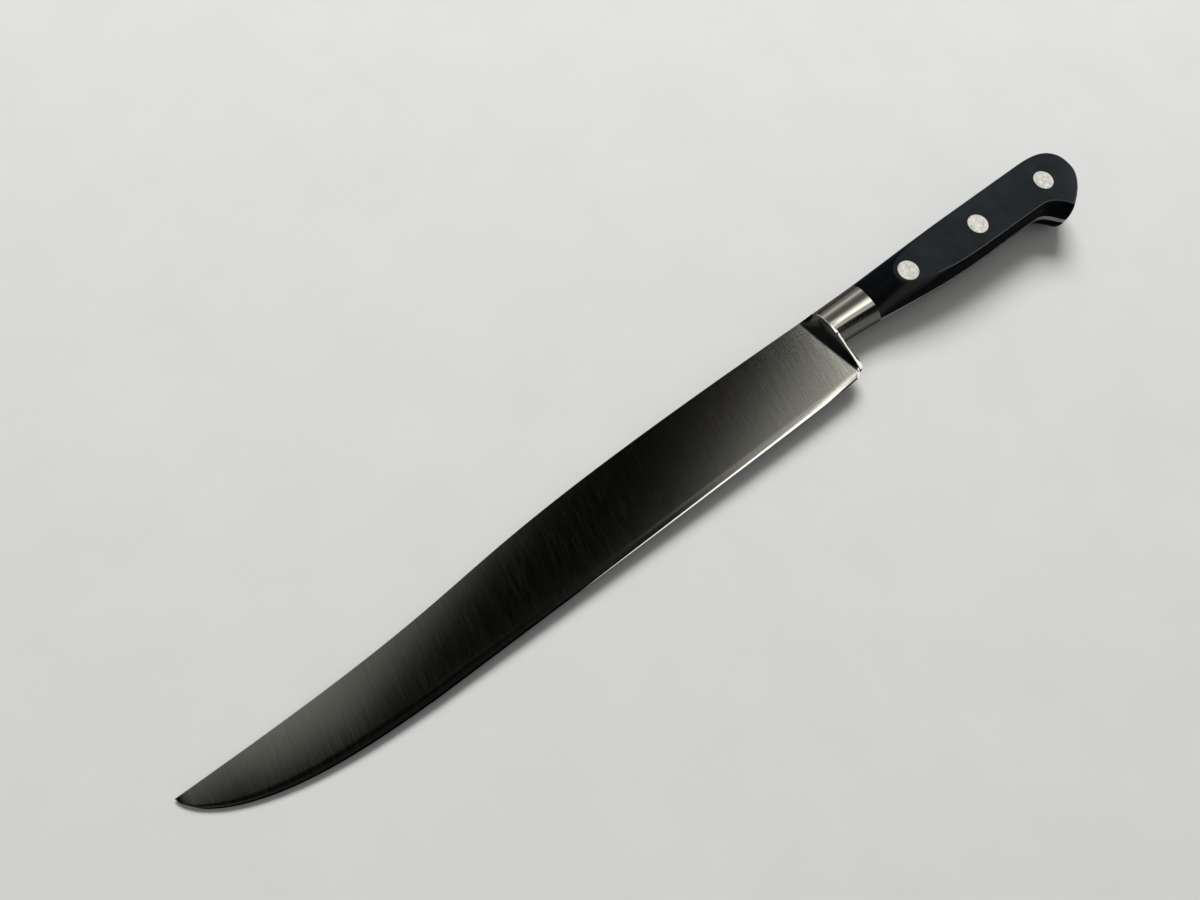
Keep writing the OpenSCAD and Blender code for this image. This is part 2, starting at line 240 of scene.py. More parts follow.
# %% Handle outline
NECK_LEN, NECK_DEPTH = 19.7, 14.6
BUTT_AT, BACK_RISE, BUTT_ROUND = 125.5, 3.8, 17.2
SWELL_AT, SWELL_DEPTH = 62.0, 18.0
WAIST_AT, WAIST_DEPTH = 100.5, 17.2
BEAK_AT, BEAK_DEPTH, BEAK_ROUND = 110.6, 24.0, 2.3
CROWN_HALF, FLARE_LEN, CROWN_END = 12.0, 44.0, 21.5
NECK_SQUARE, BACK_SQUARE, UNDER_SQUARE, BEAK_SQUARE = 2.5, 3.05, 2.05, 2.5
BUTT_POWER, BEAK_POWER, CROWN_POWER = 2.8, 1.42, 3.5
MID_LOW, MID_HIGH = 0.3, 0.7            # shares of the depth between which the widest line lies
BEAK_FADE = 4.0                         # length over which the beak's inner rounding ends
TANG_THICK, TANG_END_THICK = 2.5, 1.8
butt_start = BUTT_AT - BUTT_ROUND
butt_mid = -RIVET_LINE - 2.6
neck_top = RIM_TOP[1] - RIM_STEP
back_curve = [(0, neck_top), (40, neck_top + 1.3), (butt_start - 28, BACK_RISE - 0.9),
              (butt_start, BACK_RISE)]
neck_under = [(0, -NECK_DEPTH), (22, -NECK_DEPTH - 0.2), (SWELL_AT - 22, -SWELL_DEPTH),
              (SWELL_AT, -SWELL_DEPTH)]
grip_under = [neck_under[3], (SWELL_AT + 13, -SWELL_DEPTH), (WAIST_AT - 12, -WAIST_DEPTH),
              (WAIST_AT, -WAIST_DEPTH)]
beak_under = [grip_under[3], (WAIST_AT + 6, -WAIST_DEPTH), (BEAK_AT - 2.2, -BEAK_DEPTH + 0.8),
              (BEAK_AT, -BEAK_DEPTH)]


def back_y(x):
    """Height of the handle's back at x: a cubic curve, then a rounded quarter down to the butt."""
    rounded = mix(butt_mid, BACK_RISE, quarter((x - butt_start) / (BUTT_AT - butt_start), BUTT_POWER))
    return np.where(x < butt_start, cubic_y(back_curve, x), rounded)


def under_y(x):
    """Height of the handle's underside at x: three cubic curves, then a rounded quarter up the beak."""
    rounded = mix(butt_mid, -BEAK_DEPTH, quarter((x - BEAK_AT) / (BUTT_AT - BEAK_AT), BEAK_POWER))
    return np.select([x < SWELL_AT, x < WAIST_AT, x < BEAK_AT],
                     [cubic_y(neck_under, x), cubic_y(grip_under, x), cubic_y(beak_under, x)], rounded)


def crown(x):
    """Half width of the crowned sides before they are ground flat.

    It swells from the neck as a quarter of a sine and falls to the butt as a rounded quarter.
    """
    rise = np.sin(np.pi / 2 * clamp01((x - NECK_LEN) / FLARE_LEN))
    return mix(NECK_THICK / 2, CROWN_HALF, rise) * quarter(1 + (x - BUTT_AT) / CROWN_END, CROWN_POWER)


def tang_half(x):
    """Half thickness of the tang, which tapers from the neck to the butt."""
    return mix(TANG_THICK, TANG_END_THICK, (x - NECK_LEN) / (BUTT_AT - NECK_LEN)) / 2


def powers(x):
    """Superellipse exponents of the section above and below its widest line."""
    settle = clamp01((x - NECK_LEN) / FLARE_LEN)
    return (mix(NECK_SQUARE, BACK_SQUARE, settle),
            mix(UNDER_SQUARE, BEAK_SQUARE, ease((x - WAIST_AT) / (BEAK_AT - WAIST_AT))))


def section(x, turns):
    """Point of the section at x, turned from the back (0) to the underside (180 degrees).

    z = crown * sin^(2/p) and y = mid + (end - mid) * cos^(2/p), with its own p and end on each
    half; the beak's inner side draws back with z, so that it is rounded towards the flat faces.
    """
    top, foot, h = back_y(x), under_y(x), crown(x)
    mid = np.minimum(mix(foot, top, MID_HIGH), np.maximum(mix(foot, top, MID_LOW), -RIVET_LINE))
    upper = turns <= np.pi / 2
    back_p, under_p = powers(x)
    p = np.where(upper, back_p, under_p)
    z = h * np.abs(np.sin(turns)) ** (2 / p)
    fade = 1 - clamp01((x - BEAK_AT) / BEAK_FADE)
    shift = BEAK_ROUND * fade * np.minimum(1, z / SIDE) ** 2
    end = np.where(upper, top, under_y(x - shift))
    return mid + (end - mid) * np.abs(np.cos(turns)) ** (2 / p), z


print("handle from", NECK_LEN, "to", BUTT_AT, "butt centre", butt_mid)

# %% [markdown]
# ## Meshes from grids
# A surface is a grid of points: rows run round the section, columns along the knife. One
# function closes a grid into a mesh, with both ends capped by a ladder of faces.

# %% Grid to mesh
SHARP = math.radians(28)        # edges that bend more than this stay sharp
MERGE_GAP = 2e-7                # metres


def grid_faces(columns, rows, flip=False):
    """Quads of a tube with the given number of rings and points per ring, and its two end caps."""
    i, k = np.meshgrid(np.arange(columns - 1), np.arange(rows), indexing="ij")
    a = i * rows + k
    b = i * rows + (k + 1) % rows
    sides = np.stack([a, a + rows, b + rows, b], -1).reshape(-1, 4)
    k = np.arange(rows // 2 - 1)
    near = np.stack([k, k + 1, rows - 2 - k, rows - 1 - k], -1)
    far = np.stack([k, rows - 1 - k, rows - 2 - k, k + 1], -1) + (columns - 1) * rows
    faces = np.concatenate([sides, near, far])
    return faces[:, ::-1] if flip else faces


def make_mesh(name, points, faces):
    """A mesh object of quads with smooth shading, put into the row frame."""
    mesh = bpy.data.meshes.new(name)
    mesh.from_pydata(placed(points).reshape(-1, 3).tolist(), [], faces.tolist())
    mesh.polygons.foreach_set("use_smooth", np.ones(len(mesh.polygons), bool))
    piece = bpy.data.objects.new(name, mesh)
    bpy.context.scene.collection.objects.link(piece)
    return piece


def finish_mesh(piece, gap=MERGE_GAP):
    """Merges points closer than the gap, removes faces without area and marks the sharp edges."""
    work = bmesh.new()
    work.from_mesh(piece.data)
    bmesh.ops.remove_doubles(work, verts=work.verts, dist=gap)
    bmesh.ops.dissolve_degenerate(work, edges=work.edges, dist=gap)
    work.to_mesh(piece.data)
    work.free()
    piece.data.set_sharp_from_angle(angle=SHARP)
    print(piece.name, len(piece.data.polygons), "faces")


print("a tube of 3 rings of 8 points has", len(grid_faces(3, 8)), "faces")

# %% [markdown]
# ## The forging
# Blade, hollow, rim, neck and tang are one skin. Its rows are shares of the depth on the blade
# and turns round the section on the neck. The first and last rows of each side belong to the
# tang's edge, so the same grid can be cut down to the thin tang behind the neck.

# %% Rows of the forging
FIRST_TURN = math.radians(4)        # where the side begins next to the spine's flat top
BEVEL_TURN = math.radians(166.4)    # the bevel's shoulder
EDGE_TURN = math.radians(176)
HEEL_TURN = math.radians(138)       # from here on the rim runs below the neck
HEEL_BEVEL = 0.9                    # width of the bevel where it runs round the heel
FIRST_SINK = -2.8                   # slope with which the rows begin to sink under the neck
NECK_START = 1.0
TANG_ROWS, BACK_ROWS, NECK_ROWS, HEEL_ROWS, BEVEL_ROWS, EDGE_ROWS = 8, 46, 34, 44, 9, 4
tang_turn = math.asin((tang_half(NECK_LEN) / (NECK_THICK / 2)) ** (NECK_SQUARE / 2))
side_turns = np.concatenate([
    np.linspace(0, tang_turn, TANG_ROWS, endpoint=False),
    np.linspace(tang_turn, np.pi / 2, BACK_ROWS, endpoint=False),
    np.linspace(np.pi / 2, HEEL_TURN, NECK_ROWS, endpoint=False),
    np.linspace(HEEL_TURN, BEVEL_TURN, HEEL_ROWS, endpoint=False),
    np.linspace(BEVEL_TURN, EDGE_TURN, BEVEL_ROWS, endpoint=False),
    np.linspace(EDGE_TURN, np.pi, EDGE_ROWS + 1)])
held = np.clip(side_turns, FIRST_TURN, EDGE_TURN)
below = clamp01((held - HEEL_TURN) / (BEVEL_TURN - HEEL_TURN))
on_bevel = clamp01((side_turns - BEVEL_TURN) / (EDGE_TURN - BEVEL_TURN))
neck_y, neck_z = section(np.array(NECK_START), side_turns)
turn_y = section(np.array(NECK_START), np.array([HEEL_TURN]))[0][0]


def drawn_to(foot):
    """Heights of the rows under the neck, drawn down to the foot.

    Above the bevel a row lies at turn + a u + (end - turn - a) u^1.5, where u goes from 0 to 1,
    and the bevel's rows follow evenly.
    """
    end = foot + HEEL_BEVEL
    drawn = turn_y + FIRST_SINK * below + (end - turn_y - FIRST_SINK) * below ** 1.5
    return drawn - HEEL_BEVEL * on_bevel


crest_y = mix(-RIVET_LINE, RIM_TOP[1], np.cos(np.minimum(held, np.pi / 2)) ** (2 / NECK_SQUARE))
row_y = np.select([held <= np.pi / 2, held <= HEEL_TURN], [crest_y, neck_y], drawn_to(RIM_FOOT))
shares = rim_share(row_y)
bevel_share = np.interp(BEVEL_TURN, side_turns, shares)
top_cap = clamp01(side_turns / FIRST_TURN)
foot_cap = clamp01((np.pi - side_turns) / (np.pi - EDGE_TURN))
print(len(side_turns), "rows on each side")

# %% [markdown]
# ## The blade
# The blade is ground as one long flat wedge, and its edge then gets a narrow bevel. So each row
# keeps its share of the depth, except that the bevel keeps its own width. Above the bevel the
# side turns in a little, as it does where a grinding belt gives, and this relief shows as a
# line of its own in the reflections.

# %% Blade
THIN, THIN_SLOPE = 0.2, 0.036           # half thickness of the spine where the blade is shallow
RELIEF_W, RELIEF_W_TIP = 2.2, 4.2       # width of the relief, at the heel and at the tip
RELIEF_WIDENS, RELIEF_FADES = 140, 190  # where it begins to widen, and its slope to fall
RELIEF_CHANGE = 50                      # length of both changes
RELIEF_LEFT = 0.6                       # share of the slope that is left at the tip
CORNER_SHARE, CORNER_TURN = 0.75, math.radians(9)       # rounding of the spine's corner
TIP_HALF = 0.12                         # half height of the small face that closes the tip


def blade_part(depth):
    """Share of the depth of each row: the bevel's shoulder lies its own width above the edge."""
    shoulder = 1 - np.minimum(BEVEL_W / depth, 0.1)
    above = shares / bevel_share * shoulder
    return np.where(on_bevel > 0, mix(shoulder, 1, on_bevel), above)


def blade_half(x, depth, down):
    """Half thickness of each row, at the share down of the way from the spine to the bevel.

    A straight wedge with a rounded corner at the spine, less drop * t^2 over the relief's width,
    and then the bevel, a little convex: from shoulder to edge over 0.35 u + 0.65 u^2.
    """
    spine = mix(SPINE_THICK, TIP_THICK, clamp01(-x / BLADE_LEN)) / 2
    spine = np.minimum(spine, np.minimum(THIN + THIN_SLOPE * depth, 0.5 * depth))
    shoulder = np.minimum(BEVEL_THICK / 2, spine * 0.5)
    edge = np.minimum(EDGE_THICK / 2, spine * 0.25)
    relief = mix(RELIEF_W, RELIEF_W_TIP, ease((-x - RELIEF_WIDENS) / RELIEF_CHANGE))
    relief = np.minimum(relief, depth * 0.13)
    drop = RELIEF_SLOPE * mix(1, RELIEF_LEFT, ease((-x - RELIEF_FADES) / RELIEF_CHANGE)) * relief / 2
    wedge = mix(spine, shoulder + drop, down) - drop * clamp01(1 - (1 - down) * depth / relief) ** 2
    corner = mix(CORNER_SHARE, 1, ease((side_turns - FIRST_TURN) / CORNER_TURN))
    bevel = mix(shoulder, edge, on_bevel * 0.35 + on_bevel ** 2 * 0.65)
    z = np.where(on_bevel > 0, bevel, wedge)
    return z * top_cap * corner * foot_cap


def blade_ring(x):
    """Points of one side across the blade at x: rows by their share of the depth, z from blade_half."""
    top = np.where(x <= -BLADE_LEN, TIP[1] + TIP_HALF, spine_y(x))
    foot = np.where(x <= -BLADE_LEN, TIP[1] - TIP_HALF, edge_y(x))
    depth = top - foot
    y = top - depth * blade_part(depth)
    down = clamp01(shares / bevel_share)
    return np.stack(np.broadcast_arrays(x, y, blade_half(x, depth, down)), -1)


middle = blade_ring(np.array([[-BLADE_LEN / 2]]))
print("mid blade:", 2 * middle[..., 2].max().round(2), "thick at the spine")

# %% [markdown]
# ## The hollow
# A small wheel grinds the hollow into the end of the blade, along the collar. It is wide at the
# spine and runs out at the heel. The steel rises in it from the thin blade to the full width of
# the rim, and that slope is steep enough to look dark from above. On top of that the material
# paints the hollow's steel dark, as a painted dark reflection.

# %% Hollow
HOLLOW_SPINE, HOLLOW_HEEL = 6.0, 1.3    # width of the hollow at the spine and at the heel
SOFT_START = 0.26                       # share of that width over which the slope begins
SCOOPED = 0.12                          # share of a round scoop in the straight slope
RIM_END, RIM_POWER = 0.34, 1.15         # half thickness of the rim at the heel, and how it gets there
FOOT_END = 0.12                         # share of it that is left at the very edge
rim_full = NECK_THICK / 2 + RIM_STEP
foot_round = mix(1, FOOT_END, on_bevel * 0.6 + on_bevel ** 2 * 0.4) * foot_cap


def rim_half(y):
    """Half thickness of the rim: a superellipse round the neck, then drawn out to the heel."""
    oval = rim_full * quarter((y + RIVET_LINE) / (RIM_TOP[1] + RIVET_LINE), NECK_SQUARE)
    down = clamp01((-RIVET_LINE - y) / (-RIVET_LINE - RIM_FOOT - HEEL_BEVEL))
    return np.where(y > -RIVET_LINE, oval, mix(rim_full, RIM_END, down ** RIM_POWER))


hollow_top = np.array([RIM_TOP[0] - HOLLOW_SPINE, spine_y(RIM_TOP[0] - HOLLOW_SPINE)])
rim_corner = np.array([rim_front(RIM_FOOT), RIM_FOOT])
heel_curve = [heel_start, heel_start + (2.4, 0.15), rim_corner - (1.1, 0.45), rim_corner]
rim_points = np.stack([rim_front(row_y), row_y], -1)


def hollow_across(c):
    """Place across the hollow, 0 to 1: it begins on a straight line from the spine to the heel."""
    grid_start = mix(hollow_top, heel_start, shares[:, None])
    hollow_start = mix(hollow_top, rim_corner - (HOLLOW_HEEL, 0), shares[:, None])
    room = np.linalg.norm(rim_points - grid_start, axis=-1)
    width = np.linalg.norm(rim_points - hollow_start, axis=-1)
    start = 1 - np.minimum(1, width / room)
    return clamp01((c - start) / (1 - start))


def hollow_ring(c):
    """Points of one side in the hollow, from the blade (c = 0) to the rim (c = 1).

    The rows bend from the blade's to the rim's with c squared. Across the hollow the thickness
    rises as t^2 / (2 s) up to the soft start s and then as the straight line t - s / 2.
    """
    top = mix(hollow_top, RIM_TOP, c)[:, None, :]
    foot = cubic(heel_curve, c[:, 0])[:, None, :]
    depth = top[..., 1] - foot[..., 1]
    v = mix(blade_part(depth), shares, c)
    at = mix(mix(top, foot, v[..., None]), rim_points, (c * c)[..., None])
    across = hollow_across(c)
    soft = np.where(across < SOFT_START, across ** 2 / (2 * SOFT_START), across - SOFT_START / 2)
    rise = mix(soft / (1 - SOFT_START / 2), scoop(across), SCOOPED)
    flat_depth = spine_y(at[..., 0]) - edge_y(at[..., 0])
    down = clamp01((spine_y(at[..., 0]) - at[..., 1]) / (flat_depth - BEVEL_W))
    z = mix(blade_half(at[..., 0], flat_depth, down), rim_half(row_y) * top_cap * foot_round, rise)
    return np.concatenate([at, z[..., None]], -1)


print("the hollow begins at", hollow_top.round(2), "on the spine")

# %% [markdown]
# ## Rim, neck and tang
# The rim is the collar's crest. Round the neck it is a fine flare, and below the neck it is drawn
# out into a thin bead down to the heel. Behind it the neck is an oval, and behind the neck the
# same skin is cut down to the tang, the flat tongue between the scales.

# %% Rim, neck and tang
BACK_FOOT = 3.5                         # how far the rim's back ends above its front
BACK_STEP, BACK_THIN = 1.0, 0.12        # how much thinner the back of the rim is, and its least
FLARE_SHARE = 0.8                       # share of the rim's width over which it flares
BEAD_FROM, BEAD_LEN = 4.0, 9.0          # where the flare turns into the bead, above the rivets' line
BEAD_SHARE = 0.98                       # how far the bead is rounded away at the back
LEAN_END = 8.0                          # from here on the neck's rings stand upright
heel_z = np.maximum(BACK_THIN, rim_half(row_y) - BACK_STEP)
heel_z = mix(np.interp(HEEL_TURN, side_turns, neck_z), heel_z, ease(below * 2))
back_row_y = np.where(held <= HEEL_TURN, neck_y, drawn_to(RIM_FOOT + BACK_FOOT))
back_row_z = np.where(held <= HEEL_TURN, neck_z, heel_z) * foot_round


def rim_ring(b):
    """Points of one side on the rim, from its front (b = 0) to its back (b = 1).

    At the neck the rim is a fine flare that falls as 1 - (1 - t)^2 and runs out on the neck.
    Towards the heel it turns into a full bead, level at the front and rounded away at the back.
    """
    flare = 1 - (1 - clamp01(b / FLARE_SHARE)) ** 2
    away = mix(flare, scoop(b * BEAD_SHARE), ease((BEAD_FROM - RIVET_LINE - row_y) / BEAD_LEN))
    y = mix(row_y, back_row_y, scoop(b))
    z = mix(rim_half(row_y) * top_cap * foot_round, back_row_z, away)
    return np.stack([mix(rim_front(row_y), rim_back(row_y), b), y, z], -1)


def neck_ring(x):
    """Points of one side round the neck; next to the rim the rings lean with it."""
    y, z = section(x, side_turns)
    lean = mix(rim_back(y), LEAN_END, (x - NECK_START) / (LEAN_END - NECK_START))
    return np.stack([np.where(x < LEAN_END, lean, x), y, z], -1)


def tang_ring(x):
    """Points of one side of the tang: z is the smaller of the section's and the tang's half thickness.

    The first and last rows go round its edge, and the rows in between lie on its flat side.
    """
    half = np.minimum(tang_half(x), crown(x))
    back_p, under_p = powers(x)
    ratio = clamp01(half / np.maximum(crown(x), 1e-6))
    upper = np.arcsin(ratio ** (back_p / 2))
    lower = np.pi - np.arcsin(ratio ** (under_p / 2))
    steps = np.arange(len(side_turns))
    last = len(side_turns) - 1
    t = np.where(steps < TANG_ROWS, upper * steps / TANG_ROWS,
                 np.where(steps > last - TANG_ROWS, np.pi - (np.pi - lower) * (last - steps) / TANG_ROWS,
                          mix(upper, lower, (steps - TANG_ROWS) / (last - 2 * TANG_ROWS))))
    y, z = section(x, t)
    return np.stack(np.broadcast_arrays(x, y, np.minimum(z, half)), -1)


print("rim from", rim_front(row_y).min().round(2), "to", rim_back(row_y).max().round(2))

# %% [markdown]
# The stations lie closer together at the tip, in the hollow and at the butt, where the form
# bends most. Three attributes mark the polished steel, the tang and the hollow, so the material
# can tell them from the satin ground blade without guessing from places. The hollow's mark is
# where the material paints the steel dark, a painted dark reflection, and makes it rougher.

# %% Build the forging
TIP_STATIONS, RUN_STATIONS, HOLLOW_STATIONS = 46, 60, 64
RIM_STATIONS, NECK_STATIONS, TANG_STATIONS = 14, 26, 96
BUTT_GAP = 0.02         # the tang ends just before its thickness would be nothing
tip_x = -BLADE_LEN + (BLADE_LEN - BELLY_AT) * np.linspace(0, 1, TIP_STATIONS + 1) ** 1.8
run_x = np.linspace(-BELLY_AT, hollow_top[0] - 0.5, RUN_STATIONS + 1)[1:]
hollow_c = np.sin(np.linspace(0, np.pi / 2, HOLLOW_STATIONS + 1))
rim_b = np.linspace(0, 1, RIM_STATIONS + 1)[1:]
neck_x = mix(NECK_START, NECK_LEN, np.linspace(0, 1, NECK_STATIONS + 1) ** 1.7)
slowing = np.sin(np.linspace(0, np.pi / 2, TANG_STATIONS // 2 + 1)[1:])
tang_x = np.concatenate([np.linspace(NECK_LEN, BEAK_AT, TANG_STATIONS // 2 + 1),
                         mix(BEAK_AT, BUTT_AT - BUTT_GAP, slowing)])
sides = [
    blade_ring(np.concatenate([tip_x, run_x])[:, None]),
    hollow_ring(hollow_c[:, None]),
    rim_ring(rim_b[:, None]),
    neck_ring(neck_x[:, None]),
    tang_ring(tang_x[:, None])]
counts = [len(s) for s in sides]
near_side = np.concatenate(sides)
far_side = near_side[:, -2:0:-1] * (1, 1, -1)
skin = np.concatenate([near_side, far_side], 1)
forging = make_mesh("forging", skin, grid_faces(*skin.shape[:2], flip=True))

blade_rings, before_rim, before_tang = counts[0], sum(counts[:2]), sum(counts[:4])
polish = np.concatenate([np.zeros(blade_rings), hollow_c ** 10, np.ones(sum(counts[2:]))])
polish = np.repeat(polish[:, None], skin.shape[1], 1)
bevel_rows = on_bevel > 0.02
bevel_mark = np.concatenate([bevel_rows, bevel_rows[-2:0:-1]])
polish[:before_rim] = np.maximum(polish[:before_rim], bevel_mark)
tang_mark = np.zeros(skin.shape[:2])
tang_mark[before_tang:] = 1
# The hollow's mark: where the material paints the steel dark, as a painted dark reflection, and makes it
# rougher.
hollow_rows = hollow_across(hollow_c[:, None])
painted_dark_pocket = ease(hollow_rows / 0.3) * (1 - ease((hollow_rows - 0.95) / 0.05))
painted_dark_pocket = painted_dark_pocket * (1 - ease((shares - 0.84) / 0.12))
painted_dark_hollow_mark = np.zeros(skin.shape[:2])
painted_dark_hollow_mark[blade_rings:before_rim] = np.concatenate([painted_dark_pocket, painted_dark_pocket[:, -2:0:-1]], 1)
for mark, values in (("polish", polish), ("tang", tang_mark), ("hollow", painted_dark_hollow_mark)):
    attribute = forging.data.attributes.new(mark, "FLOAT", "POINT")
    attribute.data.foreach_set("value", values.ravel().astype(np.float32))
finish_mesh(forging)
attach(forging, "root")
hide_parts("forged_blade")

# %% [markdown]
# ## The scales
# A scale is the crowned form outside the tang, ground flat at the side. A soft minimum cuts the
# flat face, so its border is a narrow rounding that can catch the light, as on a real handle.

# %% Build the scales
SCALE_EDGE = 0.5        # width of the rounding where the flat face begins
FLANK_ROWS, FLAT_ROWS = 26, 22
GRIP_STATIONS, BUTT_STATIONS = 110, 56


def soft_min(a, b, k):
    """Smaller of a and b, rounded over a width k: mix - k h (1 - h)."""
    h = clamp01(0.5 + 0.5 * (b - a) / k)
    return mix(b, a, h) - k * h * (1 - h)


def scale_ring(x):
    """Points round the scale's section, from the tang at the back to the tang at the underside.

    Four knots on the section, at the tang and at the flat face's borders, get the rows between
    them. The half thickness is the soft minimum of the crown's and the flat face's.
    """
    h = np.maximum(crown(x), tang_half(x))
    back_p, under_p = powers(x)
    inner = clamp01(tang_half(x) / h)
    flat = clamp01(SIDE / h)
    knots = [np.arcsin(inner ** (back_p / 2)), np.arcsin(flat ** (back_p / 2)),
             np.pi - np.arcsin(flat ** (under_p / 2)), np.pi - np.arcsin(inner ** (under_p / 2))]
    turns = np.concatenate([spread(knots[0], knots[1], FLANK_ROWS),
                            spread(knots[1], knots[2], FLAT_ROWS)[:, 1:],
                            spread(knots[2], knots[3], FLANK_ROWS)[:, 1:]], 1)
    y, z = section(x, turns)
    ground = np.maximum(soft_min(z, SIDE, SCALE_EDGE), tang_half(x))
    return np.stack(np.broadcast_arrays(x, y, ground), -1)


def crown_end():
    """Place where the crown has fallen to the tang's thickness, so that the scale ends."""
    x = np.linspace(BEAK_AT, BUTT_AT, 4001)
    return float(x[np.argmax(crown(x) <= tang_half(x))])


scale_end = crown_end()
slowing = np.sin(np.linspace(0, np.pi / 2, BUTT_STATIONS))[1:]
scale_x = np.concatenate([np.linspace(NECK_LEN, BEAK_AT, GRIP_STATIONS),
                          mix(BEAK_AT, scale_end, slowing)])
scale_grid = scale_ring(scale_x[:, None])
print("scale ends at", round(scale_end, 2), "grid", scale_grid.shape)

# %% [markdown]
# ## The rivets
# Each rivet is two turned pieces: a head with a post, and a head with a sleeve that takes it.
# A turned piece is a profile carried round its axis, just as a lathe makes it, and its face gets
# a fine chamfer. The same function makes the cutters for the holes in the scales.

# %% Turned pieces
RIVET_FIRST, RIVET_PITCH = 37.3, 36.2
HEAD_D, HEAD_H, SLEEVE_D, POST_D = 8.0, 2.6, 5.0, 3.2
CLEAR, END_GAP = 0.04, 0.5      # between post and sleeve: round the post, and at its end
CHAMFER, CHAMFER_BULGE = 0.12, 0.02
TURN_STEPS = 96


def turned(name, profile, x, mirrored=False):
    """A profile of (radius, z) pairs turned round an axis along Z: x + r cos a, y + r sin a, z."""
    profile = np.asarray(profile, float)
    steps = TURN_STEPS
    angle = np.linspace(0, 2 * np.pi, steps, endpoint=False)
    r, z = profile[:, 0, None], profile[:, 1, None] * (-1 if mirrored else 1)
    points = np.stack(np.broadcast_arrays(x + r * np.cos(angle), -RIVET_LINE + r * np.sin(angle), z), -1)
    i, k = np.meshgrid(np.arange(len(profile) - 1), np.arange(steps), indexing="ij")
    a, b = i * steps + k, i * steps + (k + 1) % steps
    faces = np.stack([a, b, b + steps, a + steps], -1).reshape(-1, 4)
    return make_mesh(name, points, faces[:, ::-1] if mirrored else faces)


def head_profile(shaft, end, bore=0.0, depth=0.0):
    """Profile of a rivet half: flush face with a fine chamfer, head, shaft, and the sleeve's bore."""
    head = HEAD_D / 2
    face = [(0.0, SIDE), (head * 0.5, SIDE), (head - CHAMFER, SIDE),
            (head - CHAMFER_BULGE, SIDE - CHAMFER * 0.6), (head, SIDE - 2 * CHAMFER),
            (head, SIDE - HEAD_H), (shaft, SIDE - HEAD_H), (shaft, end)]
    inside = [(bore, end), (bore, depth), (0.0, depth)] if bore else [(0.0, end)]
    return np.array((face + inside)[::-1])


post_profile = head_profile(POST_D / 2, HEAD_H - SIDE + END_GAP)
sleeve_profile = head_profile(SLEEVE_D / 2, HEAD_H - SIDE, POST_D / 2 + CLEAR, SIDE - HEAD_H)
rivet_places = [("front", RIVET_FIRST), ("middle", RIVET_FIRST + RIVET_PITCH),
                ("rear", RIVET_FIRST + 2 * RIVET_PITCH)]
rivets = []
for name, x in rivet_places:
    for half, profile, mirrored in (("post", post_profile, False), ("sleeve", sleeve_profile, True)):
        piece = turned(f"{name}_{half}_turned", profile, x, mirrored)
        finish_mesh(piece)
        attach(piece, "root")
        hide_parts(f"{name}_rivet_{half}")
        rivets.append(piece)

# %% [markdown]
# The left scale is meshed, and three stepped holes are cut by a Boolean whose result is kept as
# the mesh. They are a little larger than the rivets, which leaves the thin dark ring that shows
# round each head. The right scale is the finished left one mirrored in the knife's middle plane,
# with its faces turned round so that they point outwards again.

# %% Cut the rivet holes
HOLE_CLEAR = 0.09
CUT_OVER = 2.0          # how far the cutters stand out of the scale
SCALE_GAP = 1e-7        # metres


def cut(piece, cutters):
    """Takes the cutters away from the piece and keeps the result as its own mesh."""
    for cutter in cutters:
        step = piece.modifiers.new("hole", "BOOLEAN")
        step.operation = "DIFFERENCE"
        step.solver = "EXACT"
        step.object = cutter
    bpy.context.view_layer.update()
    result = bpy.data.meshes.new_from_object(piece.evaluated_get(bpy.context.evaluated_depsgraph_get()))
    piece.modifiers.clear()
    piece.data = result
    for cutter in cutters:
        bpy.data.objects.remove(cutter)


shaft_hole, head_hole = SLEEVE_D / 2 + HOLE_CLEAR, HEAD_D / 2 + HOLE_CLEAR
hole_profile = [(0.0, 0.0), (shaft_hole, 0.0), (shaft_hole, SIDE - HEAD_H),
                (head_hole, SIDE - HEAD_H), (head_hole, SIDE + CUT_OVER), (0.0, SIDE + CUT_OVER)]
left = make_mesh("left_scale_moulded", scale_grid, grid_faces(*scale_grid.shape[:2]))
finish_mesh(left, gap=SCALE_GAP)
cut(left, [turned("cutter", hole_profile, x) for _, x in rivet_places])
left.data.set_sharp_from_angle(angle=SHARP)
right = bpy.data.objects.new("right_scale_moulded", left.data.copy())
bpy.context.scene.collection.objects.link(right)
places = np.empty(3 * len(left.data.vertices), np.float32)
left.data.vertices.foreach_get("co", places)
places[2::3] = 2 * SIDE * MM - places[2::3]
right.data.vertices.foreach_set("co", places)
right.data.flip_normals()
right.data.update()
scales = [left, right]
for name, scale in (("left", left), ("right", right)):
    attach(scale, "root")
    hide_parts(f"{name}_scale")
    print(scale.name, len(scale.data.polygons), "faces after the holes")

# %% [markdown]
# ## Writing materials as sums
# A shader is easier to read as an expression than as a list of nodes. This small class wraps a
# socket, so that arithmetic adds Math nodes, and one method adds any other node.

# %% The shader class


